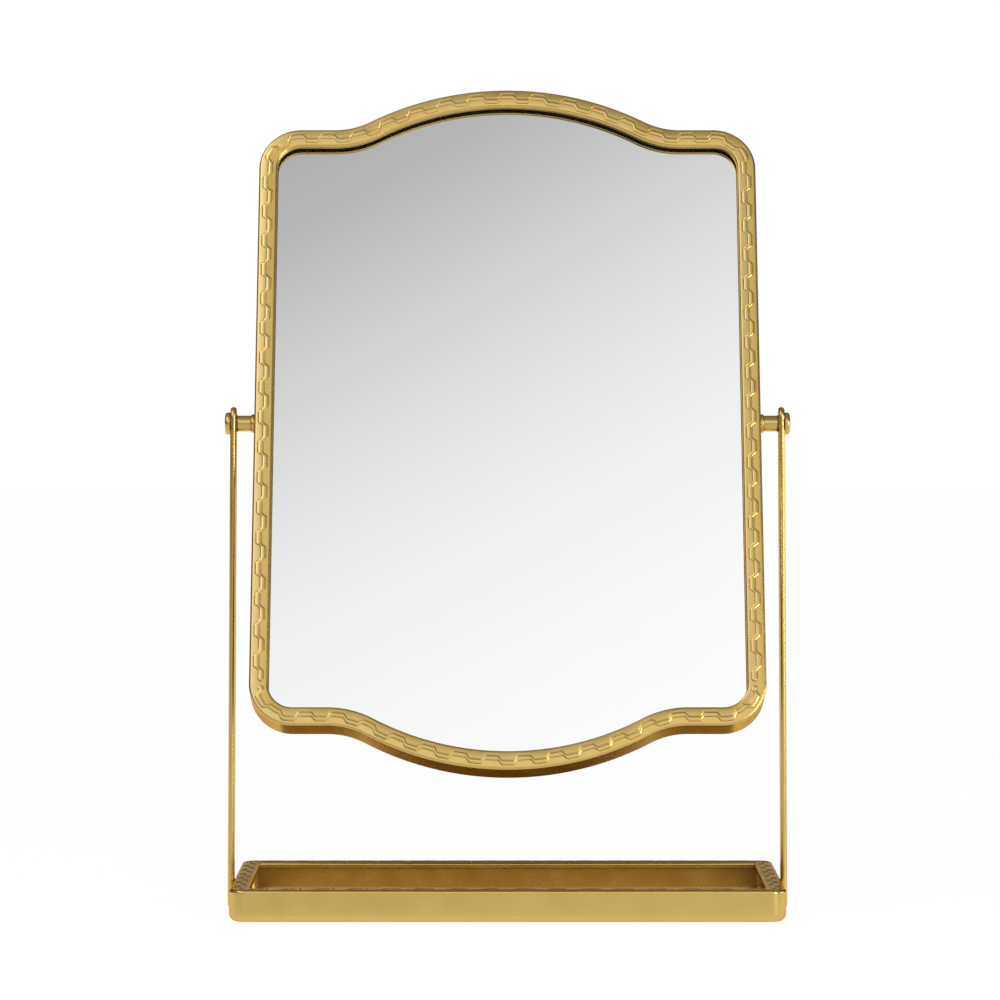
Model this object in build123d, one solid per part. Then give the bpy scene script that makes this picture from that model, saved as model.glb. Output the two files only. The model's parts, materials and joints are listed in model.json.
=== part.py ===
from build123d import *
import math
import os

# A tabletop vanity mirror: an arched mirror that tilts between two slim uprights,
# which stand beside a shallow open tray. Millimetres, +Z up, the viewer at -Y.
# The origin is on the table, midway between the uprights, under the pivot axis.

# ---- Driving dimensions ----------------------------------------------------
mirror_width = 252.5
mirror_height = 359.6
mirror_tilt = 21.0  # degrees, the top leaning back, away from the viewer
pivot_height = 245.0
pivot_above_middle = 1.0  # so that the mirror hangs steadily from its pivots
tray_depth = 120.0
tray_wall_height = 16.0
tray_behind_pivots = 12.5  # the tray's middle lies this far behind the uprights

# ---- Formed strip, shared by the mirror's frame and the tray's wall ---------
sheet = 1.5
rim_width = 9.4
rim_edge_radius = 1.3
lip_depth = 3.4
frame_depth = 16.5

# ---- Wave pressed into the rims ---------------------------------------------
wave_pitch = 15.9  # the nearest pitch at which whole waves fill a run is used
wave_swing = 2.15  # from the inner to the outer flats
wave_slant = 2.0  # length of a slope, along the rim
groove_width = 2.3
groove_depth = 0.6
groove_end_gap = 0.85
inward = -1
outward = 1

# Which way each run's first flat lies, and the share of a whole flat it takes up.
mirror_waves = ((inward, 1.0), (inward, 0.5))
tray_waves = ((inward, 0.5), (outward, 0.6))

# ---- Outline of the mirror ---------------------------------------------------
crown_rise = 22.1
hollow_radius = 38.2  # between the arch and the level shoulder
shoulder_length = 17.0
mirror_corner_radius = 21.3

# ---- Tray ----------------------------------------------------------------------
tray_corner_radius = 7.5
tray_bottom_radius = 4.0
bottom_return_width = 20.0
floor_thickness = 0.6
floor_edge_height = 0.2  # above the bevel that follows the wall's bend
floor_bottom_inset = 4.3
floor_top_inset = 3.3
pad_thickness = 0.8
pad_radius = 4.0
pad_inset = 15.5

# ---- Uprights -------------------------------------------------------------------
upright_thickness = 3.0
upright_breadth = 10.0
upright_edge_radius = 1.3
upright_above_pivot = 8.2
upright_foot_height = 2.0
upright_spread = 1.8  # how much further out each stands at the tray than at its pivot

# ---- Pivots, along X -------------------------------------------------------------
shank_radius = 2.5
shank_running_clearance = 0.05
bored_clearance = 0.1
thread_play = 0.02
head_radius = 5.5
head_edge_radius = 1.4
head_height = 2.7
turning_gap = 0.1  # on both sides of an upright
collar_radius = 4.6
collar_length = 1.8
sleeve_radius = 3.95
sleeve_length = 6.75
friction_washer_radius = 4.2
friction_washer_thickness = 0.5
nut_across_corners = 9.2
nut_thickness = 4.0

# ---- Screws that hold the uprights to the tray -------------------------------------
small_shank_radius = 1.25
small_head_radius = 2.2
small_head_height = 1.4
small_screw_spacing = 5.2
small_screw_height = 9.3
small_screw_reach = 2.2  # into the upright
small_hole_depth = 2.5
small_hole_clearance = 0.1

# ---- What the mirror's frame holds ---------------------------------------------------
cushion_thickness = 0.5
cushion_inset = 0.1
glass_thickness = 3.0
glass_inset = 6.6
backing_thickness = 3.0
foam_thickness = 3.45
foam_width = 12.0
foam_from_shoulder = 32.7
foam_from_side = 66.25
back_panel_thickness = 2.1
back_panel_inset = 1.9
tab_thickness = 1.2
tab_width = 9.0
tab_reach = 8.0
tab_leg = 6.0
tab_height_on_sides = 75.0
panel_screw_radius = 1.4
panel_screw_head_radius = 2.6
panel_screw_head_height = 0.9
panel_screw_clearance = 0.1

# ---- Worked out ------------------------------------------------------------------------
half_width = mirror_width / 2
half_height = mirror_height / 2
shoulder_height = half_height - crown_rise
shoulder_end = half_width - mirror_corner_radius
crown_half_width = shoulder_end - shoulder_length
crown_radii = (crown_half_width**2 + crown_rise**2) / (2 * crown_rise)
arch_radius = crown_radii - hollow_radius
crown_turn = math.degrees(math.asin(crown_half_width / crown_radii))

# Places along the pivot axis, from the middle of the mirror outwards.
nut_inner_end = half_width - sheet - nut_thickness
collar_end = half_width + collar_length
sleeve_end = collar_end + sleeve_length
washer_end = sleeve_end + friction_washer_thickness
upright_inner_face = washer_end + turning_gap
head_start = upright_inner_face + upright_thickness + turning_gap

# The tray fills the space between the uprights' feet.
tray_half_width = upright_inner_face + upright_spread
tray_top = pad_thickness + tray_wall_height
upright_lean = math.degrees(math.atan(upright_spread / (pivot_height - tray_top)))

# Depths inside the mirror's frame, from the pivot axis towards the viewer.
frame_front = frame_depth / 2
cushion_back = frame_front - lip_depth - cushion_thickness
glass_back = cushion_back - glass_thickness
backing_back = glass_back - backing_thickness
foam_back = backing_back - foam_thickness
back_panel_back = foam_back - back_panel_thickness

to_world = Pos(0, 0, pivot_height) * Rot(90 - mirror_tilt, 0, 0)
along_x = Rot(0, 90, 0)


def keep(name, shape):
    export_step(shape, f"parts/{name}.step")


def keep_pair(name, right_shape):
    keep(name + "_right", right_shape)
    keep(name + "_left", mirror(right_shape, about=Plane.YZ))


# ---- Outlines -----------------------------------------------------------------------------
def mirror_crown(inset):
    """The left corner, shoulder, hollow, arch and their right twins, as edges from
    left to right, moved inwards by the inset."""
    corner_y = shoulder_height - mirror_corner_radius
    corner_radius = mirror_corner_radius - inset
    shoulder_y = shoulder_height - inset
    hollow_y = shoulder_height + hollow_radius
    arch_y = half_height - arch_radius
    hollow = hollow_radius + inset
    return [
        CenterArc((-shoulder_end, corner_y), corner_radius, 180, -90),
        Line((-shoulder_end, shoulder_y), (-crown_half_width, shoulder_y)),
        CenterArc((-crown_half_width, hollow_y), hollow, 270, crown_turn),
        CenterArc((0, arch_y), arch_radius - inset, 90 + crown_turn, -2 * crown_turn),
        CenterArc((crown_half_width, hollow_y), hollow, 270 - crown_turn, crown_turn),
        Line((crown_half_width, shoulder_y), (shoulder_end, shoulder_y)),
        CenterArc((shoulder_end, corner_y), corner_radius, 90, -90),
    ]


def mirror_runs(inset):
    """The outline in two runs, clockwise: up the left side, over the crown and down
    the right side, then round the bottom."""
    side_x = half_width - inset
    side_y = shoulder_height - mirror_corner_radius
    left_side = Line((-side_x, -side_y), (-side_x, side_y))
    right_side = Line((side_x, side_y), (side_x, -side_y))
    upper = [left_side, *mirror_crown(inset), right_side]
    lower = [Rot(0, 0, 180) * edge for edge in mirror_crown(inset)]
    place = Pos(0, -pivot_above_middle, 0)
    return [[place * edge for edge in run] for run in (upper, lower)]


def tray_runs(inset):
    """The tray's outline in two runs, clockwise from above: round the left side, the
    back and the right side, then along the front. They part halfway round the front
    corners."""
    x = tray_half_width - inset
    y = tray_depth / 2 - inset
    radius = tray_corner_radius - inset
    if radius <= 0:
        behind = [Line((-x, -y), (-x, y)), Line((-x, y), (x, y)), Line((x, y), (x, -y))]
        front = [Line((x, -y), (-x, -y))]
    else:
        near_x = x - radius
        near_y = y - radius
        behind = [
            CenterArc((-near_x, -near_y), radius, 225, -45),
            Line((-x, -near_y), (-x, near_y)),
            CenterArc((-near_x, near_y), radius, 180, -90),
            Line((-near_x, y), (near_x, y)),
            CenterArc((near_x, near_y), radius, 90, -90),
            Line((x, near_y), (x, -near_y)),
            CenterArc((near_x, -near_y), radius, 0, -45),
        ]
        front = [
            CenterArc((near_x, -near_y), radius, 315, -45),
            Line((near_x, -y), (-near_x, -y)),
            CenterArc((-near_x, -near_y), radius, 270, -45),
        ]
    place = Pos(0, tray_behind_pivots, 0)
    return [[place * edge for edge in run] for run in (behind, front)]


def outline_face(runs, inset):
    upper, lower = runs(inset)
    return make_face([*upper, *lower])


def slab(runs, inset, low, high):
    """The outline, moved inwards by the inset, as a slab between two heights."""
    return extrude(Pos(0, 0, low) * outline_face(runs, inset), high - low)


# ---- The rim and its wave -----------------------------------------------------------------------
def wave_cutter(run_edges, top, first_way, end_share):
    """The pressed groove along one run of the rim's middle line: a band that steps
    between inner and outer flats, and ends as it begins."""
    run = Wire(run_edges)
    usable = run.length - 2 * groove_end_gap
    waves = round(usable / wave_pitch - end_share + 0.5)
    step = (usable + (2 * end_share - 1) * wave_slant) / (waves + end_share - 0.5)
    flat = step / 2 - wave_slant
    first = first_way * wave_swing / 2
    stations = [(groove_end_gap, first)]
    for wave in range(waves):
        leaving = groove_end_gap + end_share * flat + wave * step
        arriving = leaving + wave_slant + flat
        stations.append((leaving, first))
        stations.append((leaving + wave_slant, -first))
        stations.append((arriving, -first))
        stations.append((arriving + wave_slant, first))
    stations.append((groove_end_gap + usable, first))

    def beside(distance, shift):
        at = run.position_at(distance, position_mode=PositionMode.LENGTH)
        along = run.tangent_at(distance, position_mode=PositionMode.LENGTH)
        return (at.X - along.Y * shift, at.Y + along.X * shift)

    outer_edge = [beside(place, shift + groove_width / 2) for place, shift in stations]
    inner_edge = [beside(place, shift - groove_width / 2) for place, shift in stations]
    band = make_face(Polyline(*outer_edge, *reversed(inner_edge), close=True))
    return extrude(Pos(0, 0, top - groove_depth) * band, 2 * groove_depth)


def formed_ring(runs, back, front, waves):
    """A closed ring of formed strip: an outer wall, a flat rim with the wave pressed
    into it, and a short lip at the rim's inner edge."""
    ring = slab(runs, 0, back, front)
    ring -= slab(runs, sheet, back, front - sheet)
    ring += slab(runs, rim_width - sheet, front - lip_depth, front)
    ring -= slab(runs, rim_width, back, front)
    ring = fillet(ring.edges().group_by(Axis.Z)[-1], rim_edge_radius)
    for run_edges, (first_way, end_share) in zip(runs(rim_width / 2), waves):
        ring -= wave_cutter(run_edges, front, first_way, end_share)
    return ring


# ---- Stand: tray -------------------------------------------------------------------------------------
def small_screw_places():
    return [(offset * small_screw_spacing / 2, small_screw_height) for offset in (-1, 1)]


def small_bore(radius, start, end):
    """Two bores, one for each screw of the right upright."""
    bores = Compound([])
    for y, z in small_screw_places():
        middle = Pos((start + end) / 2, y, z)
        bores += middle * along_x * Cylinder(radius, end - start)
    return bores


def make_tray_wall():
    """The formed ring above, and below it the rounded foot with its return under the
    floor."""
    mid_height = pad_thickness + tray_wall_height / 2
    wall = formed_ring(tray_runs, mid_height, tray_top, tray_waves)
    foot = slab(tray_runs, 0, pad_thickness, mid_height)
    foot = fillet(foot.edges().group_by(Axis.Z)[0], tray_bottom_radius)
    hollow = slab(tray_runs, sheet, pad_thickness + sheet, mid_height)
    foot -= fillet(hollow.edges().group_by(Axis.Z)[0], tray_bottom_radius - sheet)
    foot -= slab(tray_runs, bottom_return_width, 0, mid_height)
    hole = small_shank_radius + small_hole_clearance
    holes = small_bore(hole, tray_half_width - 2 * sheet, tray_half_width + sheet)
    return wall + foot - holes - mirror(holes, about=Plane.YZ)


def make_tray_floor():
    """A sheet on the bottom return, its edge bevelled to lie in the wall's bend."""
    low = pad_thickness + sheet
    high = low + floor_thickness
    bevel_top = high - floor_edge_height
    bottom_outline = Pos(0, 0, low) * outline_face(tray_runs, floor_bottom_inset)
    bevel_outline = Pos(0, 0, bevel_top) * outline_face(tray_runs, floor_top_inset)
    bevelled = loft([bottom_outline, bevel_outline], ruled=True)
    return bevelled + slab(tray_runs, floor_top_inset, bevel_top, high)


def make_foot_pad(side_x, side_y):
    x = side_x * (tray_half_width - pad_inset)
    y = tray_behind_pivots + side_y * (tray_depth / 2 - pad_inset)
    return Pos(x, y, pad_thickness / 2) * Cylinder(pad_radius, pad_thickness)


# ---- Stand: uprights ---------------------------------------------------------------------------------------
def make_upright():
    """The right upright: a flat bar with rounded ends and edges, which leans a little
    outwards on its way down to the tray."""
    length = pivot_height + upright_above_pivot - upright_foot_height
    middle = upright_above_pivot - length / 2
    side_view = Plane.YZ * SlotOverall(length, upright_breadth, rotation=90)
    bar = extrude(Pos(0, 0, middle) * side_view, upright_thickness)
    bar = fillet(bar.edges(), upright_edge_radius)
    place = Pos(upright_inner_face, 0, pivot_height) * Rot(0, -upright_lean, 0)
    bar = place * bar
    bore = Cylinder(shank_radius + shank_running_clearance, 4 * upright_thickness)
    bar -= Pos(upright_inner_face, 0, pivot_height) * along_x * bore
    drilled = small_shank_radius + thread_play
    return bar - small_bore(drilled, tray_half_width, tray_half_width + small_hole_depth)


def make_upright_screws():
    """Two screws from inside the tray into the right upright."""
    wall_inside = tray_half_width - sheet
    shanks = small_bore(small_shank_radius, wall_inside, tray_half_width + small_screw_reach)
    heads = small_bore(small_head_radius, wall_inside - small_head_height, wall_inside)
    return shanks + heads


# ---- Pivots ---------------------------------------------------------------------------------------------------
def ring_on_axis(radius, bore, start, end):
    ring = Cylinder(radius, end - start) - Cylinder(bore, end - start)
    return Pos((start + end) / 2, 0, pivot_height) * along_x * ring


def make_pivot_screw():
    """A pan head outside the upright, on a shank that ends in the nut."""
    head_top = head_start + head_height
    edge_start = head_top - head_edge_radius
    top_radius = head_radius - head_edge_radius
    half_section = make_face(
        [
            Line((0, nut_inner_end), (shank_radius, nut_inner_end)),
            Line((shank_radius, nut_inner_end), (shank_radius, head_start)),
            Line((shank_radius, head_start), (head_radius, head_start)),
            Line((head_radius, head_start), (head_radius, edge_start)),
            CenterArc((top_radius, edge_start), head_edge_radius, 0, 90),
            Line((top_radius, head_top), (0, head_top)),
            Line((0, head_top), (0, nut_inner_end)),
        ]
    )
    turned = revolve(Plane.XZ * half_section, Axis.Z)
    return Pos(0, 0, pivot_height) * along_x * turned


def make_pivot_nut():
    outline = RegularPolygon(nut_across_corners / 2, 6)
    nut = extrude(outline, nut_thickness)
    nut -= Cylinder(shank_radius + thread_play, 4 * nut_thickness)
    return Pos(nut_inner_end, 0, pivot_height) * along_x * nut


# ---- Mirror: frame and filling ------------------------------------------------------------------------------------
def make_mirror_frame():
    frame = formed_ring(mirror_runs, -frame_front, frame_front, mirror_waves)
    hole = along_x * Cylinder(shank_radius + bored_clearance, 2 * mirror_width)
    return frame - hole


def filling(inset, back, front):
    return slab(mirror_runs, inset, back, front)


def make_glass_cushion():
    """A thin gasket between the lip and the glass."""
    low = cushion_back
    high = cushion_back + cushion_thickness
    outer = filling(rim_width - sheet + cushion_inset, low, high)
    return outer - filling(rim_width - cushion_inset, low, high)


def make_foam_strip():
    length = 2 * (shoulder_height - foam_from_shoulder)
    strip = Box(foam_width, length, foam_thickness)
    middle = (backing_back + foam_back) / 2
    return Pos(half_width - foam_from_side, -pivot_above_middle, middle) * strip


def tab_places():
    """Where the back panel is held: at four places on the sides and four on the
    shoulders, as frames whose X points outwards, from the frame wall's inner face."""
    mid_shoulder = shoulder_end - shoulder_length / 2
    places = []
    for turn, reach, along in (
        (0, half_width - sheet, tab_height_on_sides),
        (180, half_width - sheet, tab_height_on_sides),
        (90, shoulder_height - sheet, mid_shoulder),
        (270, shoulder_height - sheet, mid_shoulder),
    ):
        for side in (-1, 1):
            turned = Pos(0, -pivot_above_middle, 0) * Rot(0, 0, turn)
            places.append(turned * Pos(reach, side * along, 0))
    return places


def make_panel_tabs():
    """Angle brackets on the inside of the frame's wall, one arm under the panel."""
    screw_hole = Cylinder(panel_screw_radius + thread_play, 4 * tab_thickness)
    arm = Box(tab_reach, tab_width, tab_thickness)
    leg = Box(tab_thickness, tab_width, tab_leg)
    tab = Pos(-tab_reach / 2, 0, foam_back + tab_thickness / 2) * arm
    tab += Pos(-tab_thickness / 2, 0, foam_back + tab_leg / 2) * leg
    tab -= Pos(-tab_reach / 2, 0, foam_back) * screw_hole
    return Compound([place * tab for place in tab_places()])


def make_back_panel():
    panel = filling(back_panel_inset, back_panel_back, foam_back)
    hole = Cylinder(panel_screw_radius + panel_screw_clearance, frame_depth)
    for place in tab_places():
        panel -= place * Pos(-tab_reach / 2, 0, 0) * hole
    return panel


def make_panel_screws():
    length = back_panel_thickness + tab_thickness
    head_middle = back_panel_back - panel_screw_head_height / 2
    screw = Pos(0, 0, back_panel_back + length / 2) * Cylinder(panel_screw_radius, length)
    screw += Pos(0, 0, head_middle) * Cylinder(panel_screw_head_radius, panel_screw_head_height)
    return Compound([place * Pos(-tab_reach / 2, 0, 0) * screw for place in tab_places()])


# ---- Every piece, in its place --------------------------------------------------------------------------------------
os.makedirs("parts", exist_ok=True)

keep("tray_wall", make_tray_wall())
keep("tray_floor", make_tray_floor())
for depth_name, side_y in (("front", -1), ("back", 1)):
    for width_name, side_x in (("left", -1), ("right", 1)):
        keep(f"foot_pad_{depth_name}_{width_name}", make_foot_pad(side_x, side_y))
keep_pair("upright", make_upright())
keep_pair("upright_screws", make_upright_screws())

keep_pair("pivot_screw", make_pivot_screw())
keep_pair("pivot_nut", make_pivot_nut())
bored = shank_radius + bored_clearance
keep_pair("collar", ring_on_axis(collar_radius, bored, half_width, collar_end))
keep_pair("spacer_sleeve", ring_on_axis(sleeve_radius, bored, collar_end, sleeve_end))
keep_pair("friction_washer", ring_on_axis(friction_washer_radius, bored, sleeve_end, washer_end))

keep("mirror_frame", to_world * make_mirror_frame())
keep("glass_cushion", to_world * make_glass_cushion())
keep("mirror_glass", to_world * filling(glass_inset, glass_back, cushion_back))
keep("backing_board", to_world * filling(glass_inset, backing_back, glass_back))
keep_pair("foam_strip", to_world * make_foam_strip())
keep("back_panel", to_world * make_back_panel())
keep("panel_tabs", to_world * make_panel_tabs())
keep("panel_screws", to_world * make_panel_screws())
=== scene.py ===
import json
import math

import bpy
import numpy as np
from mathutils import Matrix, Vector


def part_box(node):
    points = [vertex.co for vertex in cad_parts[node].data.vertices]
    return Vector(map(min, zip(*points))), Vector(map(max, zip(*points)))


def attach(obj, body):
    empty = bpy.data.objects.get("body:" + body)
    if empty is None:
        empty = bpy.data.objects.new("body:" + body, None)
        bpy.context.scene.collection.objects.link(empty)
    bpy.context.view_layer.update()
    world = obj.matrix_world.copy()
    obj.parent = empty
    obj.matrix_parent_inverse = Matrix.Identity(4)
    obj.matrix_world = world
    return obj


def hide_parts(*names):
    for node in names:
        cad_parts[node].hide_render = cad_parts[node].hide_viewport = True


# A tabletop vanity mirror in satin gold, tilting between two uprights at the ends of an
# open tray. Metres, +Z up, the viewer at -Y. Places come from the frame's boxes.

MM = 0.001

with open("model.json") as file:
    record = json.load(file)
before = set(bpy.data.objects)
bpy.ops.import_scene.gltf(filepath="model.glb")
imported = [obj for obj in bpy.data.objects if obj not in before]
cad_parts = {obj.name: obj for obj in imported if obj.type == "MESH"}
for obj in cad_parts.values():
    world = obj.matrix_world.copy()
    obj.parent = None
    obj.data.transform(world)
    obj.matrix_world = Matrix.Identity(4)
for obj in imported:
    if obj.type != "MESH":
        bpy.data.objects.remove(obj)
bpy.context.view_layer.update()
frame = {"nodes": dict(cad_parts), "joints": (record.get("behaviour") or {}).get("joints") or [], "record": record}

# ---- Sizes ----------------------------------------------------------------------------
MIRROR_HEIGHT = 359.6 * MM
MIRROR_TILT = math.radians(21.0)
PIVOT_ABOVE_MIDDLE = 1.0 * MM
CROWN_RISE = 22.1 * MM
HOLLOW_RADIUS = 38.2 * MM
SHOULDER_LENGTH = 17.0 * MM
MIRROR_CORNER_RADIUS = 21.3 * MM
FRAME_DEPTH = 16.5 * MM

# The formed strip of both rims. A dome is how far its face falls away at the edges.
SHEET = 1.5 * MM
RIM_WIDTH = 9.4 * MM
RIM_EDGE_RADIUS = 1.3 * MM
RIM_DOME = 0.22 * MM
TRAY_FRONT_DOME = 0.08 * MM
LIP_DEPTH = 3.4 * MM
BACK_EDGE_RADIUS = 0.3 * MM
EDGE_SUPPORT = 0.12 * MM

# The pressed wave is a ribbon with a low bead between two creases. The bead's edge, the
# crease's middle and the ribbon's reach are distances from the ribbon's middle line.
WAVE_PITCH = 15.9 * MM
WAVE_SWING = 2.35 * MM
WAVE_SLOPE = 2.6 * MM
GROOVE_END_GAP = 0.85 * MM
BEAD_EDGE = 0.30 * MM
BEAD_CROWN_DEPTH = 0.22 * MM
CREASE_MIDDLE = 1.20 * MM
CREASE_DEPTH = 0.38 * MM
RIBBON_REACH = 1.62 * MM
RAMP_EASING = 0.18
INWARD, OUTWARD = -1, 1

TRAY_CORNER_RADIUS = 7.5 * MM
TRAY_BOTTOM_RADIUS = 4.0 * MM
TRAY_INSIDE_RADIUS = 0.6 * MM
BOTTOM_RETURN = 20.0 * MM

GLASS_INSET = 6.6 * MM
GLASS_THICKNESS = 3.0 * MM
GLASS_INDEX = 1.5
GLASS_EDGE = 0.25 * MM
CUSHION_THICKNESS = 0.5 * MM

UPRIGHT_THICKNESS = 3.0 * MM
UPRIGHT_EDGE_RADIUS = 1.3 * MM
UPRIGHT_FACE_MARGIN = 0.1 * MM
UPRIGHT_SPREAD = 1.8 * MM
AIR_AT_WASHER = 0.1 * MM

BORE_RADIUS = 2.6 * MM
TURNED_EDGE = 0.25 * MM
SHANK_RADIUS = 2.5 * MM
SHANK_CHAMFER = 0.3 * MM
HEAD_HEIGHT = 2.7 * MM
HEAD_CHAMFER = 0.15 * MM
HEAD_EDGE_RADIUS = 1.4 * MM
HEAD_EDGE_TURN = 84
HEAD_CROWN = 0.15 * MM
POINT_RADIUS = 0.02 * MM

SHARP_ANGLE = math.radians(40)
SAMPLES_PER_WAVE = 32
SAMPLES_PER_END = 25
LATHE_STEPS = 64
OUTLINE_STEP = 2.0 * MM
OUTLINE_END_GAP = 0.5 * MM

QUARTER = math.pi / 2
SIDES = ((1, "right"), (-1, "left"))

# ---- Places read from the frame -------------------------------------------------------
PIVOT = Vector(frame["joints"][0]["pos_m"])
TRAY_LOW, TRAY_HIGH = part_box("tray_wall")
TRAY_HALF_DEPTH = (TRAY_HIGH.y - TRAY_LOW.y) / 2
HALF_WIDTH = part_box("mirror_frame")[1].x
HALF_HEIGHT = MIRROR_HEIGHT / 2
SHOULDER_END = HALF_WIDTH - MIRROR_CORNER_RADIUS
SHOULDER_HEIGHT = HALF_HEIGHT - CROWN_RISE
CROWN_HALF_WIDTH = SHOULDER_END - SHOULDER_LENGTH
# The arch meets a hollow where their radii, added up here, lie in one line.
CROWN_RADII = (CROWN_HALF_WIDTH**2 + CROWN_RISE**2) / (2 * CROWN_RISE)
CROWN_TURN = math.asin(CROWN_HALF_WIDTH / CROWN_RADII)
ARCH_RADIUS = CROWN_RADII - HOLLOW_RADIUS
TO_MIRROR = (
    Matrix.Translation(PIVOT)
    @ Matrix.Rotation(QUARTER - MIRROR_TILT, 4, "X")
    @ Matrix.Translation((0, -PIVOT_ABOVE_MIDDLE, 0))
)


# ---- Node trees -----------------------------------------------------------------------
WHITE = (1, 1, 1, 1)
NOISE_LOW, NOISE_HIGH = 0.3, 0.7


class Tree:
    """A node tree, with short calls for adding and joining nodes."""

    def __init__(self, owner):
        owner.use_nodes = True
        self.nodes = owner.node_tree.nodes
        self.links = owner.node_tree.links

    def add(self, kind, inputs=(), **settings):
        """A new node with its settings, and its inputs fed by name or number."""
        node = self.nodes.new(kind)
        for key, value in settings.items():
            setattr(node, key, value)
        for key, value in dict(inputs).items():
            self.feed(value, node.inputs[key])
        return node

    def feed(self, value, socket):
        """Joins a node's output to the socket, or sets the socket to a plain value."""
        if isinstance(value, bpy.types.NodeSocket):
            self.links.new(value, socket)
        else:
            socket.default_value = value

    def math(self, operation, *values):
        node = self.add("ShaderNodeMath", enumerate(values), operation=operation)
        return node.outputs["Value"]

    def most(self, *values):
        """The largest of two or more values."""
        largest, *others = values
        for value in others:
            largest = self.math("MAXIMUM", largest, value)
        return largest

    def opposite(self, value):
        """1 less the value."""
        return self.math("SUBTRACT", 1.0, value)

    def eased(self, value, start, end):
        """0 up to the start and 1 from the end, eased between them."""
        inputs = {"Value": value, "From Min": start, "From Max": end}
        node = self.add("ShaderNodeMapRange", inputs, interpolation_type="SMOOTHSTEP")
        return node.outputs["Result"]

    def blend(self, factor, first, second):
        inputs = {"Factor": factor, "A": first, "B": second}
        return self.add("ShaderNodeMix", inputs, data_type="FLOAT").outputs["Result"]

    def mix(self, factor, first, second):
        """Two colours, mixed."""
        inputs = {"Factor": factor, "A": first, "B": second}
        return self.add("ShaderNodeMix", inputs, data_type="RGBA").outputs["Result"]

    def ramp(self, value, stops):
        """Greys between stops, which are pairs of a position and a level."""
        node = self.add("ShaderNodeValToRGB", {"Fac": value})
        elements = node.color_ramp.elements
        while len(elements) < len(stops):
            elements.new(0.5)
        for element, (position, level) in zip(elements, stops):
            element.position = position
            element.color = (level, level, level, 1)
        return node.outputs["Color"]


class Material(Tree):
    """A material around one Principled shader."""

    def __init__(self, name):
        self.material = bpy.data.materials.new(name)
        super().__init__(self.material)

    def noise(self, scale, detail=2.0, roughness=0.5):
        place = self.add("ShaderNodeTexCoord").outputs["Object"]
        inputs = {"Vector": place, "Scale": scale, "Detail": detail, "Roughness": roughness}
        return self.add("ShaderNodeTexNoise", inputs).outputs["Fac"]

    def spread(self, noise, low, high):
        """A noise's usual range, spread from low to high."""
        inputs = {
            "Value": noise,
            "From Min": NOISE_LOW,
            "From Max": NOISE_HIGH,
            "To Min": low,
            "To Max": high,
        }
        return self.add("ShaderNodeMapRange", inputs).outputs["Result"]

    def bump(self, height, distance, under=None):
        """A bumpy normal, on top of the one under it where that is given."""
        inputs = {"Height": height, "Distance": distance}
        if under is not None:
            inputs["Normal"] = under
        return self.add("ShaderNodeBump", inputs).outputs["Normal"]

    def shade(self, inputs):
        """Feeds the shader's inputs by name, and gives the finished material."""
        shader = self.nodes["Principled BSDF"]
        for name, value in inputs.items():
            self.feed(value, shader.inputs[name])
        return self.material


# ---- Materials ------------------------------------------------------------------------
GOLD_DEEP = (0.67, 0.455, 0.125, 1)
GOLD_LIGHT = (0.79, 0.555, 0.18, 1)
GOLD_EDGE = (0.80, 0.60, 0.33, 1)
SILVER_DULL = (0.955, 0.962, 0.96, 1)
SILVER_BRIGHT = (0.97, 0.975, 0.975, 1)
BOARD_DARK = (0.022, 0.019, 0.017, 1)
BOARD_LIGHT = (0.095, 0.082, 0.072, 1)
ZINC_DARK = (0.47, 0.47, 0.46, 1)
ZINC_LIGHT = (0.66, 0.65, 0.62, 1)

# Soft materials: their tints, and how far the grain darkens, lightens and roughens them.
RUBBER = (0.022, 0.022, 0.022)
FOAM = (0.12, 0.12, 0.12)
NYLON = (0.24, 0.155, 0.055)
GRAIN_DARK, GRAIN_LIGHT, GRAIN_ROUGHNESS = 0.6, 1.5, 0.1


def gold_paint():
    """Satin metallic paint: fine flake, a soft mottle and a slight orange peel."""
    paint = Material("satin_gold_paint")
    flake = paint.noise(scale=9000, detail=1.0)
    mottle = paint.noise(scale=60, detail=3.0)
    tone = paint.math("ADD", paint.spread(flake, 0.0, 0.35), paint.spread(mottle, 0.2, 0.65))
    peel = paint.bump(paint.noise(scale=1500), distance=0.002 * MM)
    return paint.shade({
        "Metallic": 1.0,
        "Specular Tint": GOLD_EDGE,
        "Base Color": paint.mix(tone, GOLD_DEEP, GOLD_LIGHT),
        "Roughness": paint.spread(mottle, 0.23, 0.30),
        "Normal": paint.bump(flake, distance=0.0004 * MM, under=peel),
    })


def mirror_silver():
    """Silvered glass, with a faint haze that varies over the sheet."""
    silver = Material("silvered_glass")
    haze = silver.noise(scale=14, detail=4.0)
    return silver.shade({
        "Metallic": 1.0,
        "IOR": GLASS_INDEX,
        "Base Color": silver.mix(haze, SILVER_DULL, SILVER_BRIGHT),
        "Roughness": silver.spread(haze, 0.0, 0.012),
    })


def dark_board():
    """Dark fibreboard with short fibres and a slightly uneven face."""
    board = Material("dark_fibreboard")
    fibre = board.noise(scale=900, detail=5.0, roughness=0.7)
    cloud = board.noise(scale=35, detail=3.0)
    tone = board.math("MULTIPLY", board.spread(fibre, 0.3, 1.0), board.spread(cloud, 0.6, 1.0))
    return board.shade({
        "Base Color": board.mix(tone, BOARD_DARK, BOARD_LIGHT),
        "Roughness": board.spread(fibre, 0.62, 0.85),
        "Normal": board.bump(fibre, distance=0.05 * MM),
    })


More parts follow.
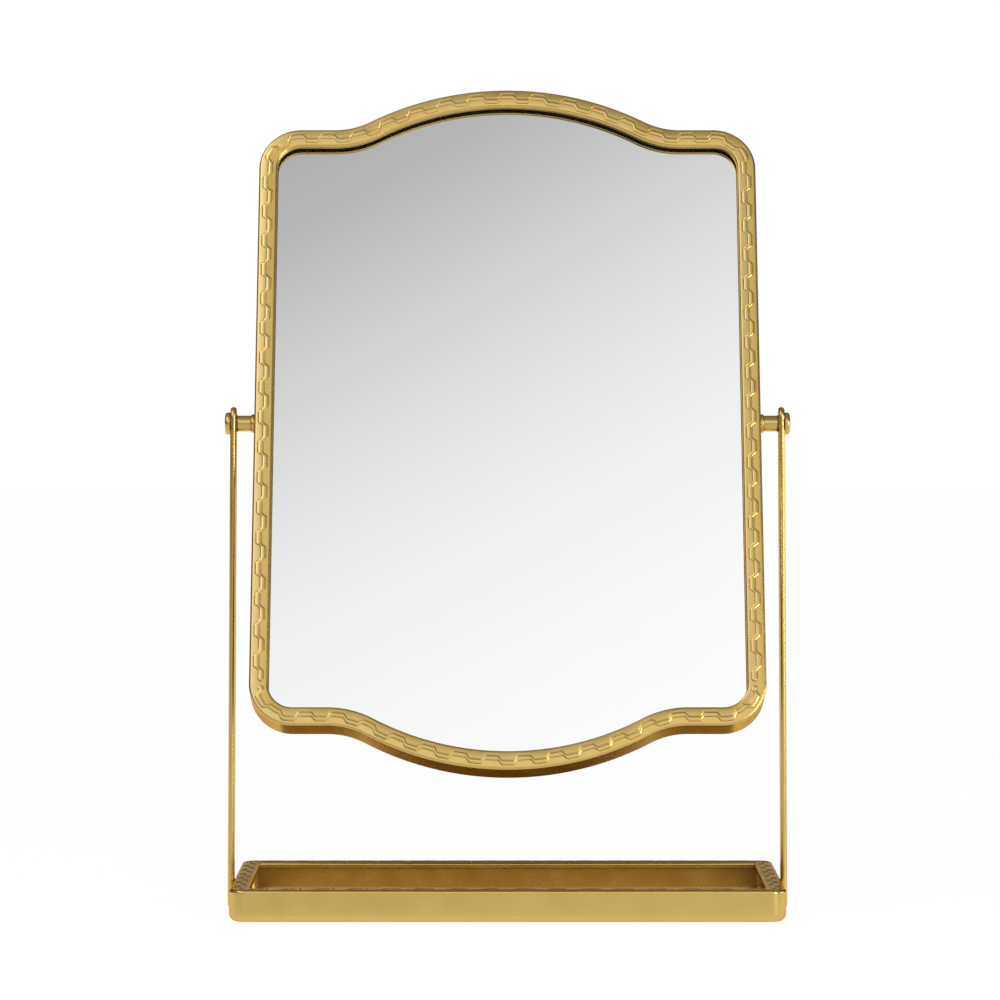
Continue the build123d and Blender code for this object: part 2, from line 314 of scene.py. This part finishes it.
def soft_tinted(name, tint, roughness, grain_scale):
    """Rubber, nylon or foam with a fine grain."""
    soft = Material(name)
    grain = soft.noise(grain_scale, detail=4.0, roughness=0.6)
    dark = (*(GRAIN_DARK * level for level in tint), 1)
    light = (*(GRAIN_LIGHT * level for level in tint), 1)
    smoother, rougher = roughness - GRAIN_ROUGHNESS, roughness + GRAIN_ROUGHNESS
    return soft.shade({
        "Base Color": soft.mix(soft.spread(grain, 0.0, 1.0), dark, light),
        "Roughness": soft.spread(grain, smoother, rougher),
        "Normal": soft.bump(grain, distance=0.04 * MM),
    })


def zinc_steel():
    """Zinc-plated steel, with the cloudy spangle of plating."""
    zinc = Material("zinc_plated_steel")
    spangle = zinc.noise(scale=420, detail=3.0)
    scratches = zinc.noise(scale=2600)
    return zinc.shade({
        "Metallic": 1.0,
        "Base Color": zinc.mix(zinc.spread(spangle, 0.0, 1.0), ZINC_DARK, ZINC_LIGHT),
        "Roughness": zinc.spread(spangle, 0.26, 0.42),
        "Normal": zinc.bump(scratches, distance=0.006 * MM),
    })


MATERIALS = {
    "gold_paint": gold_paint(),
    "mirror_silver": mirror_silver(),
    "dark_board": dark_board(),
    "black_rubber": soft_tinted("black_rubber", RUBBER, roughness=0.72, grain_scale=1400),
    "grey_foam": soft_tinted("grey_foam", FOAM, roughness=0.9, grain_scale=2600),
    "nylon": soft_tinted("brown_nylon", NYLON, roughness=0.5, grain_scale=1800),
    "zinc_steel": zinc_steel(),
}


def dress_cad_nodes():
    """Gives each CAD node the material of its slot."""
    slots = {part["node"]: part["material_slot"] for part in frame["record"]["subparts"]}
    for name, node in frame["nodes"].items():
        node.data.materials.clear()
        node.data.materials.append(MATERIALS[slots[name]])


# ---- Mesh helpers ---------------------------------------------------------------------
def add_piece(name, vertices, faces, slot, body, replaced, place, smoothed=True):
    """A piece that stands for CAD nodes, moved from its own axes to its place."""
    mesh = bpy.data.meshes.new(name)
    mesh.from_pydata(vertices, [], faces)
    mesh.transform(place)
    mesh.validate()
    mesh.polygons.foreach_set("use_smooth", [smoothed] * len(mesh.polygons))
    if smoothed:
        mesh.set_sharp_from_angle(angle=SHARP_ANGLE)
    mesh.materials.append(MATERIALS[slot])
    piece = bpy.data.objects.new(name, mesh)
    bpy.context.scene.collection.objects.link(piece)
    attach(piece, body)
    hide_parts(*replaced)
    return piece


def grid_faces(rows, columns, closed=False):
    """Quads between the points of a grid that is stored row by row. Each row is a
    closed loop, and a closed grid's last row also joins its first."""
    faces = []
    for row in range(rows if closed else rows - 1):
        here = row * columns
        there = (row + 1) % rows * columns
        for column in range(columns):
            beside = (column + 1) % columns
            faces.append((here + column, here + beside, there + beside, there + column))
    return faces


def corner_arc(centre, radius, start, end, steps):
    """Points on an arc in a section, angles in degrees."""
    x, y = centre
    angles = np.radians(np.linspace(start, end, steps))
    return [(x + radius * math.cos(angle), y + radius * math.sin(angle)) for angle in angles]


def lathe(name, section, replaced, start, side):
    """A turned gold piece of the mirror, about the pivot axis, from pairs of a radius
    and a distance outwards from its start."""
    vertices = []
    for radius, outwards in section:
        for step in range(LATHE_STEPS):
            angle = 2 * math.pi * step / LATHE_STEPS
            x = side * (start + outwards)
            vertices.append((x, radius * math.cos(angle), radius * math.sin(angle)))
    faces = grid_faces(len(section), LATHE_STEPS)
    place = Matrix.Translation(PIVOT)
    add_piece(name, vertices, faces, "gold_paint", "mirror", replaced, place)


def plate(name, outline, section, slot, body, replaced, place, smoothed=True):
    """A flat piece from an outline function of the inset, and (inset, height) pairs
    from its back to its front, closed by a flat face at each end."""
    vertices = []
    for inset, height in section:
        loop = outline(inset)
        vertices.extend((x, y, height) for x, y in loop)
    columns = len(loop)
    last = len(vertices) - columns
    faces = grid_faces(len(section), columns)
    faces.append(tuple(reversed(range(columns))))
    faces.append(tuple(range(last, last + columns)))
    return add_piece(name, vertices, faces, slot, body, replaced, place, smoothed)


# ---- Paths: the rims' lines, in runs that go clockwise --------------------------------
class Line:
    def __init__(self, start, end):
        self.start = np.array(start, float)
        self.end = np.array(end, float)
        self.length = float(np.linalg.norm(self.end - self.start))

    def at(self, share):
        """The point at a share of the length, and the direction outwards there."""
        along = (self.end - self.start) / self.length
        point = self.start + along * self.length * share
        return point, np.array([-along[1], along[0]])

    def half_turned(self):
        return Line(-self.start, -self.end)


class Arc:
    """Angles in radians; a negative turn goes clockwise."""

    def __init__(self, centre, radius, start, turn):
        self.centre = np.array(centre, float)
        self.radius = radius
        self.start = start
        self.turn = turn
        self.length = abs(turn) * radius

    def at(self, share):
        """The point at a share of the length, and the direction outwards there."""
        angle = self.start + self.turn * share
        spoke = np.array([math.cos(angle), math.sin(angle)])
        outward = spoke if self.turn < 0 else -spoke
        return self.centre + self.radius * spoke, outward

    def half_turned(self):
        return Arc(-self.centre, self.radius, self.start + math.pi, self.turn)


def run_length(run):
    return sum(segment.length for segment in run)


def point_on(run, distance):
    """The point and the direction outwards at a distance along a run."""
    *earlier, last = run
    for segment in earlier:
        if distance <= segment.length:
            return segment.at(distance / segment.length)
        distance -= segment.length
    return last.at(min(distance / last.length, 1.0))


def mirror_crown(inset):
    """Round the left corner, over the arch between its two hollows and round the right
    corner, about the mirror's middle."""
    corner_y = SHOULDER_HEIGHT - MIRROR_CORNER_RADIUS
    corner = MIRROR_CORNER_RADIUS - inset
    shoulder = SHOULDER_HEIGHT - inset
    hollow_y = SHOULDER_HEIGHT + HOLLOW_RADIUS
    hollow = HOLLOW_RADIUS + inset
    arch_y = HALF_HEIGHT - ARCH_RADIUS
    return [
        Arc((-SHOULDER_END, corner_y), corner, math.pi, -QUARTER),
        Line((-SHOULDER_END, shoulder), (-CROWN_HALF_WIDTH, shoulder)),
        Arc((-CROWN_HALF_WIDTH, hollow_y), hollow, 3 * QUARTER, CROWN_TURN),
        Arc((0, arch_y), ARCH_RADIUS - inset, QUARTER + CROWN_TURN, -2 * CROWN_TURN),
        Arc((CROWN_HALF_WIDTH, hollow_y), hollow, 3 * QUARTER - CROWN_TURN, CROWN_TURN),
        Line((CROWN_HALF_WIDTH, shoulder), (SHOULDER_END, shoulder)),
        Arc((SHOULDER_END, corner_y), corner, QUARTER, -QUARTER),
    ]


def mirror_runs(inset):
    """Up the left side, over the crown and down the right side; then the bottom."""
    side_x = HALF_WIDTH - inset
    side_y = SHOULDER_HEIGHT - MIRROR_CORNER_RADIUS
    left = Line((-side_x, -side_y), (-side_x, side_y))
    right = Line((side_x, side_y), (side_x, -side_y))
    crown = mirror_crown(inset)
    return [[left, *crown, right], [segment.half_turned() for segment in crown]]


def tray_runs(inset):
    """Round the left side, back and right side, then along the front, with the runs
    parting halfway round the front corners."""
    x = TRAY_HIGH.x - inset
    y = TRAY_HALF_DEPTH - inset
    corner = TRAY_CORNER_RADIUS - inset
    bend_x, bend_y = x - corner, y - corner
    eighth = QUARTER / 2
    behind = [
        Arc((-bend_x, -bend_y), corner, math.pi + eighth, -eighth),
        Line((-x, -bend_y), (-x, bend_y)),
        Arc((-bend_x, bend_y), corner, math.pi, -QUARTER),
        Line((-bend_x, y), (bend_x, y)),
        Arc((bend_x, bend_y), corner, QUARTER, -QUARTER),
        Line((x, bend_y), (x, -bend_y)),
        Arc((bend_x, -bend_y), corner, 0, -eighth),
    ]
    front = [
        Arc((bend_x, -bend_y), corner, -eighth, -eighth),
        Line((bend_x, -y), (-bend_x, -y)),
        Arc((-bend_x, -bend_y), corner, -QUARTER, -eighth),
    ]
    return [behind, front]


# ---- Wave-pressed rims ----------------------------------------------------------------
class Wave:
    """The ribbon's way along one run: flats joined by eased slopes. It ends as it
    begins, on a flat that takes up a share of a whole one. The first flat lies inwards
    or outwards of the rim's middle."""

    def __init__(self, run, first_way, end_share, dome):
        self.run = run
        self.dome = dome
        self.first_way = first_way
        self.length = run_length(run)
        self.usable = self.length - 2 * GROOVE_END_GAP
        waves = round(self.usable / WAVE_PITCH - end_share + 0.5)
        slopes = (2 * end_share - 1) * WAVE_SLOPE
        self.pitch = (self.usable + slopes) / (waves + end_share - 0.5)
        self.lead = (1 - end_share) * (self.pitch / 2 - WAVE_SLOPE)

    def shift(self, distance):
        """How far the ribbon stands outwards of the rim's middle."""
        inside = min(max(distance - GROOVE_END_GAP, 0), self.usable)
        place = ((inside + self.lead) % self.pitch) / self.pitch
        slope = WAVE_SLOPE / self.pitch
        there = smooth((place - 0.5 + slope) / slope)
        back = smooth((place - 1.0 + slope) / slope)
        return -self.first_way * WAVE_SWING * (there - back - 0.5)

    def distances(self):
        """Where the rim is sampled: closely at the ends, and evenly between them. The
        run's end is left out, because it is the next run's start."""
        end_zone = GROOVE_END_GAP + 2 * RIBBON_REACH
        end_steps = np.linspace(0, end_zone, SAMPLES_PER_END, endpoint=False)
        steps = round(self.length / self.pitch * SAMPLES_PER_WAVE)
        inside = np.linspace(end_zone, self.length - end_zone, steps)
        return [*end_steps, *inside, *(self.length - end_steps[:0:-1])]


def smooth(share):
    """0 to 1 in an eased curve."""
    share = np.clip(share, 0, 1)
    return share * share * (3 - 2 * share)


def rounded_ramp(share):
    """0 to 1 in an even slope, eased over a short stretch at both ends."""
    share = min(max(share, 0), 1)
    slope = 1 / (1 - RAMP_EASING)
    if share < RAMP_EASING:
        return slope * share**2 / (2 * RAMP_EASING)
    if share > 1 - RAMP_EASING:
        return 1 - slope * (1 - share) ** 2 / (2 * RAMP_EASING)
    return slope * (share - RAMP_EASING / 2)


def ribbon_depth(off):
    """Depth of the pressed ribbon at a distance off its middle line."""
    if off < CREASE_MIDDLE:
        share = rounded_ramp((off - BEAD_EDGE) / (CREASE_MIDDLE - BEAD_EDGE))
        return BEAD_CROWN_DEPTH + (CREASE_DEPTH - BEAD_CROWN_DEPTH) * share
    return CREASE_DEPTH * (1 - rounded_ramp((off - CREASE_MIDDLE) / (RIBBON_REACH - CREASE_MIDDLE)))


# Where the ribbon is sampled across, in millimetres: closest where its sides bend.
CREASE_SIDES = [1.75, 1.62, 1.58, 1.54, 1.47, 1.41, 1.34, 1.28, 1.24, 1.20, 1.12, 1.04]
BEAD_SIDES = [0.90, 0.74, 0.58, 0.46, 0.30, 0.15]
ONE_SIDE = [offset * MM for offset in CREASE_SIDES + BEAD_SIDES]
RIBBON_OFFSETS = [*ONE_SIDE, 0.0, *(-offset for offset in reversed(ONE_SIDE))]


def dome_drop(across, dome):
    """The rim's face falls away slightly to both sides of its middle."""
    return dome * (across / (RIM_WIDTH / 2)) ** 2


def ribbon_points(distance, wave, front):
    """Section points across the pressed ribbon, from its outer to its inner edge."""
    middle = wave.shift(distance)
    cap_middle = GROOVE_END_GAP + RIBBON_REACH
    past_cap = max(cap_middle - min(distance, wave.length - distance), 0)
    points = []
    for offset in RIBBON_OFFSETS:
        depth = ribbon_depth(math.hypot(past_cap, offset))
        across = middle + offset
        points.append((across, front - dome_drop(across, wave.dome) - depth))
    return points


def rim_section(distance, wave, front, behind):
    """A rim's whole section: its outer edge, the groove, its inner edge and lip, then
    the points behind it."""
    half = RIM_WIDTH / 2
    radius = RIM_EDGE_RADIUS
    small = BACK_EDGE_RADIUS
    top = front - dome_drop(half - radius, wave.dome)
    fall = math.degrees(math.atan(2 * wave.dome * (half - radius) / half**2))
    lip_end = front - LIP_DEPTH
    return [
        (half, top - radius - EDGE_SUPPORT),
        *corner_arc((half - radius, top - radius), radius, 0, 90 - fall, steps=8),
        *ribbon_points(distance, wave, front),
        *corner_arc((radius - half, top - radius), radius, 90 + fall, 180, steps=8),
        (-half, front - radius - EDGE_SUPPORT),
        (-half, lip_end + small),
        (small - half, lip_end),
        (SHEET - half - small, lip_end),
        (SHEET - half, lip_end + small),
        (SHEET - half, front - SHEET),
        *behind,
    ]


def formed_ring(waves, front, behind, corner_limits=None):
    """Vertices and faces of a closed ring of formed strip, along its waves' runs."""
    vertices = []
    rows = 0
    for wave in waves:
        for distance in wave.distances():
            point, outward = point_on(wave.run, distance)
            for across, height in rim_section(distance, wave, front, behind):
                x, y = point + outward * across
                if corner_limits is not None:
                    x, y = corner_limits(x, y, across)
                vertices.append((x, y, height))
            rows += 1
    return vertices, grid_faces(rows, len(vertices) // rows, closed=True)


def build_mirror_frame():
    half = RIM_WIDTH / 2
    front, back = FRAME_DEPTH / 2, -FRAME_DEPTH / 2
    small = BACK_EDGE_RADIUS
    behind = [
        (half - SHEET, front - SHEET),
        (half - SHEET, back + small),
        (half - SHEET + small, back),
        (half - small, back),
        (half, back + small),
        (half, back + 2 * small),
    ]
    upper, lower = mirror_runs(half)
    waves = [
        Wave(upper, INWARD, end_share=1.0, dome=RIM_DOME),
        Wave(lower, INWARD, end_share=0.5, dome=RIM_DOME),
    ]
    vertices, faces = formed_ring(waves, front, behind)
    replaced = ["mirror_frame"]
    add_piece("gold_mirror_frame", vertices, faces, "gold_paint", "mirror", replaced, TO_MIRROR)


def tray_corner_limits(x, y, across):
    """Keeps what lies inside the tray's round corners from crossing over itself."""
    inset = RIM_WIDTH / 2 - across
    if inset <= TRAY_CORNER_RADIUS:
        return x, y
    limit_x = TRAY_HIGH.x - inset
    limit_y = TRAY_HALF_DEPTH - inset
    return min(max(x, -limit_x), limit_x), min(max(y, -limit_y), limit_y)


def build_tray_wall():
    half = RIM_WIDTH / 2
    front, back = TRAY_HIGH.z, TRAY_LOW.z
    inner = TRAY_INSIDE_RADIUS
    outer = TRAY_BOTTOM_RADIUS
    return_end = half - BOTTOM_RETURN
    behind = [
        (half - SHEET, front - SHEET),
        *corner_arc((half - SHEET - inner, back + SHEET + inner), inner, 360, 270, steps=9),
        (return_end, back + SHEET),
        (return_end, back),
        *corner_arc((half - outer, back + outer), outer, 270, 360, steps=11),
    ]
    around, along_front = tray_runs(half)
    waves = [
        Wave(around, INWARD, end_share=0.5, dome=RIM_DOME),
        Wave(along_front, OUTWARD, end_share=0.6, dome=TRAY_FRONT_DOME),
    ]
    vertices, faces = formed_ring(waves, front, behind, tray_corner_limits)
    place = Matrix.Translation((0, (TRAY_HIGH.y + TRAY_LOW.y) / 2, 0))
    add_piece("gold_tray_wall", vertices, faces, "gold_paint", "stand", ["tray_wall"], place)


# ---- Glass, uprights and pivots -------------------------------------------------------
def mirror_outline(inset):
    """Points round the mirror at an inset from its edge, anticlockwise."""
    points = []
    for run in mirror_runs(inset):
        for distance in np.arange(0, run_length(run) - OUTLINE_END_GAP, OUTLINE_STEP):
            points.append(point_on(run, distance)[0])
    return points[::-1]


def build_glass():
    """The silver layer, at the depth where it is seen through the glass."""
    glass_front = FRAME_DEPTH / 2 - LIP_DEPTH - CUSHION_THICKNESS
    back = glass_front - GLASS_THICKNESS
    front = glass_front - GLASS_THICKNESS / GLASS_INDEX
    edge = GLASS_EDGE
    whole = mirror_outline(GLASS_INSET)
    middle = np.mean(whole, axis=0)

    def outline(inset):
        shrink = 1 - inset / HALF_WIDTH
        return [middle + (point - middle) * shrink for point in whole]

    section = [(edge, back), (0, back + edge), (0, front - edge), (edge, front)]
    name = "silvered_mirror_glass"
    replaced = ["mirror_glass"]
    plate(name, outline, section, "mirror_silver", "mirror", replaced, TO_MIRROR, smoothed=False)


def build_uprights():
    """Two flat bars with round ends, which lean outwards from the pivot to the tray."""
    low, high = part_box("upright_right")
    inner_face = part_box("friction_washer_right")[1].x + AIR_AT_WASHER
    lean = math.atan2(UPRIGHT_SPREAD, PIVOT.z - TRAY_HIGH.z)
    breadth = high.y - low.y
    length = (high.z - low.z - UPRIGHT_THICKNESS * math.sin(lean)) / math.cos(lean)
    middle = high.z - PIVOT.z - length / 2
    straight = length / 2 - breadth / 2

    def outline(inset):
        top = corner_arc((0, middle + straight), breadth / 2 - inset, 0, 180, steps=33)
        foot = [(-y, 2 * middle - z) for y, z in top]
        return top + foot

    radius = UPRIGHT_EDGE_RADIUS
    face_inset = radius + UPRIGHT_FACE_MARGIN
    section = [
        (face_inset, 0),
        *corner_arc((radius, radius), radius, 270, 180, steps=8),
        *corner_arc((radius, UPRIGHT_THICKNESS - radius), radius, 180, 90, steps=8),
        (face_inset, UPRIGHT_THICKNESS),
    ]
    # The plate's own X, Y and height run along the frame's Y, Z and X.
    turn = Matrix(((0, 0, 1, 0), (1, 0, 0, 0), (0, 1, 0, 0), (0, 0, 0, 1)))
    for side, word in SIDES:
        place = (
            Matrix.Scale(side, 4, (1, 0, 0))
            @ Matrix.Translation((inner_face, 0, PIVOT.z))
            @ Matrix.Rotation(-lean, 4, "Y")
            @ turn
        )
        name = f"gold_upright_{word}"
        replaced = [f"upright_{word}"]
        piece = plate(name, outline, section, "gold_paint", "stand", replaced, place)
        if side == -1:
            piece.data.flip_normals()


def collar_section(radius, length):
    edge = TURNED_EDGE
    return [
        (BORE_RADIUS, 0),
        (radius - edge, 0),
        *corner_arc((radius - edge, edge), edge, 270, 360, steps=4),
        *corner_arc((radius - 2 * edge, length - 2 * edge), 2 * edge, 0, 90, steps=5),
        (BORE_RADIUS, length),
    ]


def sleeve_section(radius, length):
    edge = TURNED_EDGE
    return [
        (BORE_RADIUS, 0),
        *corner_arc((radius - edge, edge), edge, 270, 360, steps=4),
        (radius, 2 * edge),
        (radius, length - 2 * edge),
        *corner_arc((radius - edge, length - edge), edge, 0, 90, steps=4),
        (BORE_RADIUS, length),
    ]


def pivot_screw_section(head_radius, low_x, high_x):
    """The shank, then a pan head with a round edge and a slightly domed top."""
    head_start = high_x - HEAD_HEIGHT
    flat_radius = head_radius - HEAD_EDGE_RADIUS
    edge_middle = (flat_radius, high_x - HEAD_CROWN - HEAD_EDGE_RADIUS)
    shares = np.linspace(0.95, 0.01, 9)
    return [
        (POINT_RADIUS, low_x),
        (SHANK_RADIUS - SHANK_CHAMFER, low_x),
        (SHANK_RADIUS, low_x + SHANK_CHAMFER),
        (SHANK_RADIUS, head_start),
        (head_radius - HEAD_CHAMFER, head_start),
        (head_radius, head_start + HEAD_CHAMFER),
        *corner_arc(edge_middle, HEAD_EDGE_RADIUS, 0, HEAD_EDGE_TURN, steps=12),
        *((flat_radius * share, high_x - HEAD_CROWN * share**2) for share in shares),
    ]


def build_pivots():
    collar_low, collar_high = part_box("collar_right")
    sleeve_low, sleeve_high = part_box("spacer_sleeve_right")
    screw_low, screw_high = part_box("pivot_screw_right")
    start, collar_end = collar_low.x, collar_high.x
    collar = collar_section((collar_high.y - collar_low.y) / 2, collar_end - start)
    sleeve = sleeve_section((sleeve_high.y - sleeve_low.y) / 2, sleeve_high.x - collar_end)
    screw = pivot_screw_section((screw_high.y - screw_low.y) / 2, screw_low.x, screw_high.x)
    for side, word in SIDES:
        lathe(f"gold_collar_{word}", collar, [f"collar_{word}"], start, side)
        lathe(f"gold_spacer_sleeve_{word}", sleeve, [f"spacer_sleeve_{word}"], collar_end, side)
        lathe(f"gold_pivot_screw_{word}", screw, [f"pivot_screw_{word}"], 0.0, side)


dress_cad_nodes()
build_mirror_frame()
build_tray_wall()
build_glass()
build_uprights()
build_pivots()


# ---- Floor ----------------------------------------------------------------------------
FLOOR_REACH = 6.0
FLOOR_PAINT = (0.85, 0.85, 0.85, 1)
FLOOR_SHADE = (0.16, 0.16, 0.16, 1)
FLOOR_GLOW = 0.93
# In reflections the glow is dimmed on the viewer's side of an edge, which is eased between
# two distances. This is painted shade that only reflections see. Pairs of the edge and the change.
PAINTED_SHADE_IN_REFLECTIONS = (((-0.1, 0.0), -0.28), ((-2.6, -1.8), -0.58))


def floor_material():
    """Matte paint to the light that falls on it. To the camera and in reflections it
    glows, so that it meets the white background, and still takes a faint shadow."""
    material = bpy.data.materials.new("pale_floor")
    tree = Tree(material)
    tree.nodes.clear()
    rays = tree.add("ShaderNodeLightPath").outputs
    position = tree.add("ShaderNodeNewGeometry").outputs["Position"]
    y = tree.add("ShaderNodeSeparateXYZ", {"Vector": position}).outputs["Y"]
    strength = FLOOR_GLOW
    # Painted shade: glossy rays see the floor's glow dimmed on the viewer's side.
    for edge, change in PAINTED_SHADE_IN_REFLECTIONS:
        near_side = tree.opposite(tree.eased(y, *edge))
        reflected = tree.math("MULTIPLY", rays["Is Glossy Ray"], near_side)
        strength = tree.math("MULTIPLY_ADD", reflected, change, strength)
    glow = tree.add("ShaderNodeEmission", {"Color": WHITE, "Strength": strength})
    paint = tree.add("ShaderNodeBsdfDiffuse", {"Color": FLOOR_PAINT})
    shade = tree.add("ShaderNodeBsdfDiffuse", {"Color": FLOOR_SHADE})
    both = {0: shade.outputs["BSDF"], 1: glow.outputs["Emission"]}
    seen = tree.add("ShaderNodeAddShader", both).outputs["Shader"]
    shown = tree.most(*(rays[f"Is {kind} Ray"] for kind in ("Camera", "Glossy", "Transmission")))
    choice = {"Fac": shown, 1: paint.outputs["BSDF"], 2: seen}
    surface = tree.add("ShaderNodeMixShader", choice).outputs["Shader"]
    tree.add("ShaderNodeOutputMaterial", {"Surface": surface})
    return material


def build_floor():
    mesh = bpy.data.meshes.new("floor")
    corners = [(-1, -1), (1, -1), (1, 1), (-1, 1)]
    mesh.from_pydata([(x * FLOOR_REACH, y * FLOOR_REACH, 0) for x, y in corners], [], [(0, 1, 2, 3)])
    mesh.materials.append(floor_material())
    floor = bpy.data.objects.new("floor", mesh)
    bpy.context.scene.collection.objects.link(floor)


# ---- World ----------------------------------------------------------------------------
# A direction's X is to the viewer's right, Y away from the viewer and Z up. A stretch,
# such as TO_LEFT, is two values of one of them between which a level eases into another.

# In front, brightness falls off high up, and later on the right than on the left. Each
# level goes with a height.
FRONT_SLANT, SLANT_LIMIT = -0.4, 0.25
FRONT_LEVELS = (
    (0.0, 0.75),
    (0.12, 0.85),
    (0.30, 1.0),
    (0.40, 1.05),
    (0.52, 1.05),
    (0.585, 1.0),
    (0.61, 0.965),
    (0.63, 0.91),
    (0.65, 0.83),
    (0.67, 0.73),
    (0.69, 0.60),
    (0.71, 0.48),
    (0.735, 0.40),
    (0.80, 0.26),
    (1.0, 0.28),
)
HORIZON, BELOW_LEVEL = (-0.02, 0.0), 0.1

# On the left, from low down to overhead, and dark again at the far left.
TO_LEFT, TO_FAR_LEFT = (-0.07, -0.17), (-0.52, -0.74)
TO_LEFT_HIGH, TO_LEFT_OVERHEAD = (0.2, 0.4), (0.70, 0.85)
LEFT_LOW, LEFT_HIGH, LEFT_OVERHEAD = 0.12, 1.15, 0.5

# A cool patch inside the left's bright part: it ends to the left, above and below.
DAYLIGHT = (0.88, 1.0, 1.75, 1)
PATCH_LEFT, PATCH_TOP, PATCH_FOOT = (-0.40, -0.55), (0.72, 0.82), (0.50, 0.38)

# On the right, pale low down and duller above.
TO_RIGHT, TO_RIGHT_HIGH = (0.2, 0.4), (0.15, 0.28)
RIGHT_LOW, RIGHT_HIGH = 0.75, 0.24

# Behind, white in a low window where the picture shows it, and grey elsewhere.
TO_BACK = (-0.2, 0.2)
WINDOW_SIDE, WINDOW_TOP = (0.2, 0.32), (0.12, 0.2)
BACK_LEVEL = 0.14
TO_BACK_OVERHEAD, BACK_OVERHEAD = (0.45, 0.9), 0.28


def front_level(tree, x, z, leftward):
    limited = tree.math("MINIMUM", x, SLANT_LIMIT)
    limited = tree.math("MAXIMUM", limited, -SLANT_LIMIT)
    height = tree.math("MULTIPLY_ADD", limited, FRONT_SLANT, z)
    left = tree.blend(tree.eased(z, *TO_LEFT_HIGH), LEFT_LOW, LEFT_HIGH)
    left = tree.blend(tree.eased(z, *TO_LEFT_OVERHEAD), left, LEFT_OVERHEAD)
    left = tree.blend(tree.eased(x, *TO_FAR_LEFT), left, LEFT_LOW)
    right = tree.blend(tree.eased(z, *TO_RIGHT_HIGH), RIGHT_LOW, RIGHT_HIGH)
    front = tree.blend(leftward, tree.ramp(height, FRONT_LEVELS), left)
    front = tree.blend(tree.eased(x, *TO_RIGHT), front, right)
    return tree.blend(tree.eased(z, *HORIZON), BELOW_LEVEL, front)


def back_level(tree, x, z):
    beside = tree.eased(tree.math("ABSOLUTE", x), *WINDOW_SIDE)
    window = tree.opposite(tree.most(beside, tree.eased(z, *WINDOW_TOP)))
    overhead = tree.math("MULTIPLY", tree.eased(z, *TO_BACK_OVERHEAD), BACK_OVERHEAD)
    return tree.most(window, BACK_LEVEL, overhead)


def build_world():
    """White to the camera, and a studio to everything else: a wide soft light in front
    that greys towards the top left, a left side that is bright high up, with a cool
    patch, and a right side that is pale low down. A white window is low at the back, and
    the far left and everything below are dark."""
    world = bpy.data.worlds.new("studio")
    bpy.context.scene.world = world
    tree = Tree(world)
    tree.nodes.clear()
    direction = tree.add("ShaderNodeTexCoord").outputs["Generated"]
    parts = tree.add("ShaderNodeSeparateXYZ", {"Vector": direction})
    x, y, z = (parts.outputs[axis] for axis in "XYZ")
    to_camera = tree.add("ShaderNodeLightPath").outputs["Is Camera Ray"]
    leftward = tree.eased(x, *TO_LEFT)
    behind = tree.eased(y, *TO_BACK)
    studio = tree.blend(behind, front_level(tree, x, z, leftward), back_level(tree, x, z))
    patch_ends = zip((x, z, z), (PATCH_LEFT, PATCH_TOP, PATCH_FOOT))
    beyond = tree.most(*(tree.eased(part, *stretch) for part, stretch in patch_ends))
    cool = tree.math("MULTIPLY", leftward, tree.opposite(tree.most(behind, to_camera, beyond)))
    background = tree.add("ShaderNodeBackground", {
        "Color": tree.mix(cool, WHITE, DAYLIGHT),
        "Strength": tree.most(studio, to_camera),
    })
    tree.add("ShaderNodeOutputWorld", {"Surface": background.outputs["Background"]})


# ---- Lamps and camera -----------------------------------------------------------------
LAMP_TARGET = Vector((0, 0, 0.2))


def add_softbox(name, azimuth, elevation, distance, size, power):
    """An area lamp that faces the object. Azimuth 0 is the viewer's side and turns
    towards the viewer's right, in degrees."""
    azimuth, elevation = math.radians(azimuth), math.radians(elevation)
    level = math.cos(elevation)
    away = Vector((math.sin(azimuth) * level, -math.cos(azimuth) * level, math.sin(elevation)))
    lamp = bpy.data.lights.new(name, "AREA")
    lamp.shape = "RECTANGLE"
    lamp.size, lamp.size_y = size
    lamp.energy = power
    holder = bpy.data.objects.new(name, lamp)
    holder.location = LAMP_TARGET + away * distance
    holder.rotation_euler = away.to_track_quat("Z", "Y").to_euler()
    bpy.context.scene.collection.objects.link(holder)


def build_lamps():
    add_softbox("key_upper_left", -50, 45, distance=1.5, size=(1.1, 1.0), power=2.0)
    add_softbox("overhead_left", -64, 54, distance=1.5, size=(0.5, 0.5), power=0.9)
    add_softbox("strip_right_front", 38, 8, distance=1.6, size=(0.2, 0.8), power=6)
    add_softbox("right_side", 88, 3, distance=1.5, size=(0.9, 0.34), power=2.2)


def build_camera():
    distance = 2.050
    eye_height = 0.2855
    pitch = math.radians(2.2)
    aim_pixel_x = 507.5
    focal_pixels = 4100.0
    image_pixels = 1000.0
    camera = bpy.data.cameras.new("camera")
    camera.sensor_width = 36.0
    camera.lens = focal_pixels / image_pixels * camera.sensor_width
    metres_per_pixel = distance / focal_pixels
    offset = (image_pixels / 2 - aim_pixel_x) * metres_per_pixel
    holder = bpy.data.objects.new("camera", camera)
    holder.location = (offset, -distance, eye_height)
    holder.rotation_euler = (QUARTER - pitch, 0, 0)
    bpy.context.scene.collection.objects.link(holder)
    bpy.context.scene.camera = holder


build_floor()
build_world()
build_lamps()
build_camera()
bpy.context.scene.view_settings.view_transform = "Standard"
